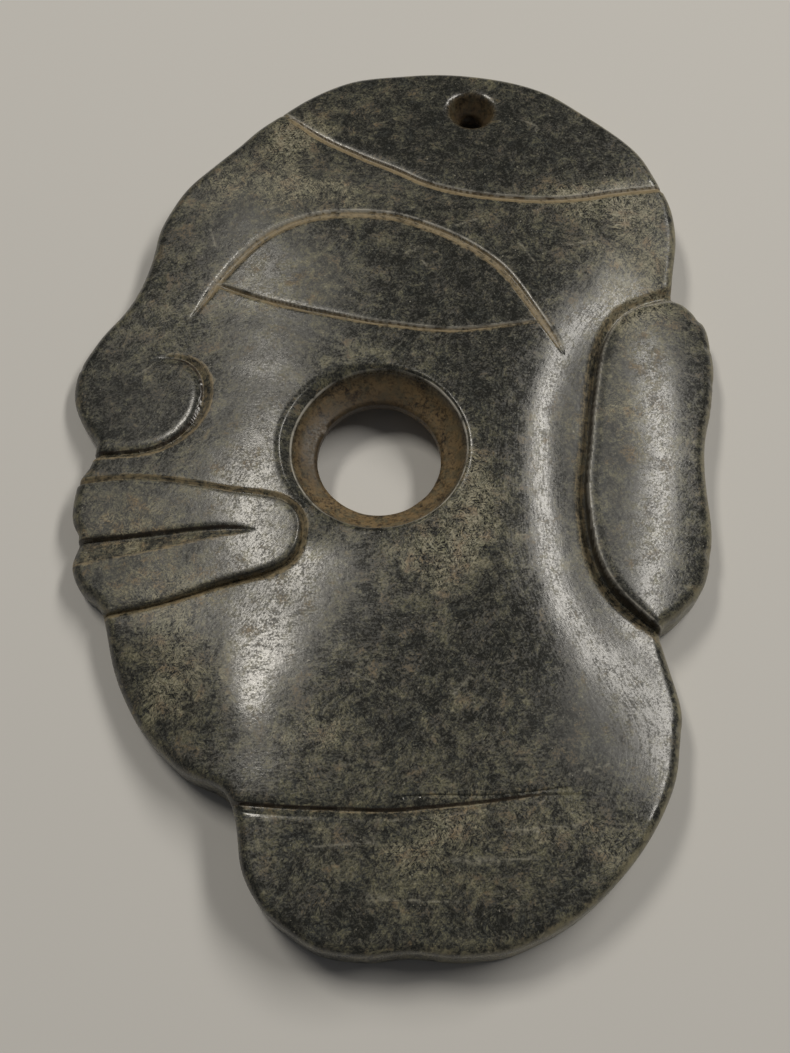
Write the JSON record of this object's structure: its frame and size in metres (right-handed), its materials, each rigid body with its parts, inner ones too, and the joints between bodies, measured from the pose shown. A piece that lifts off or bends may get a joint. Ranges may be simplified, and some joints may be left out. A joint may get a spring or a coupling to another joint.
{
  "type": "jade face pendant",
  "caption": "Flat jade pendant carved as a head in profile, with a round hole through its middle and a small cord hole above the forehead.",
  "frame": {"origin": "middle of the stone's width and height, on the flat back face that it rests on", "axes": "+Z out of the carved front, +Y towards the crown of the head, +X towards the ear; the nose is at -X"},
  "size_m": [0.062, 0.0896, 0.007],
  "materials": {
    "jade": "dark grey-green jade with olive and tan mottling, worn to a soft polish, brown stain in the grooves"
  },
  "bodies": {
    "root": {"jade_pendant": "jade"}
  },
  "joints": []
}
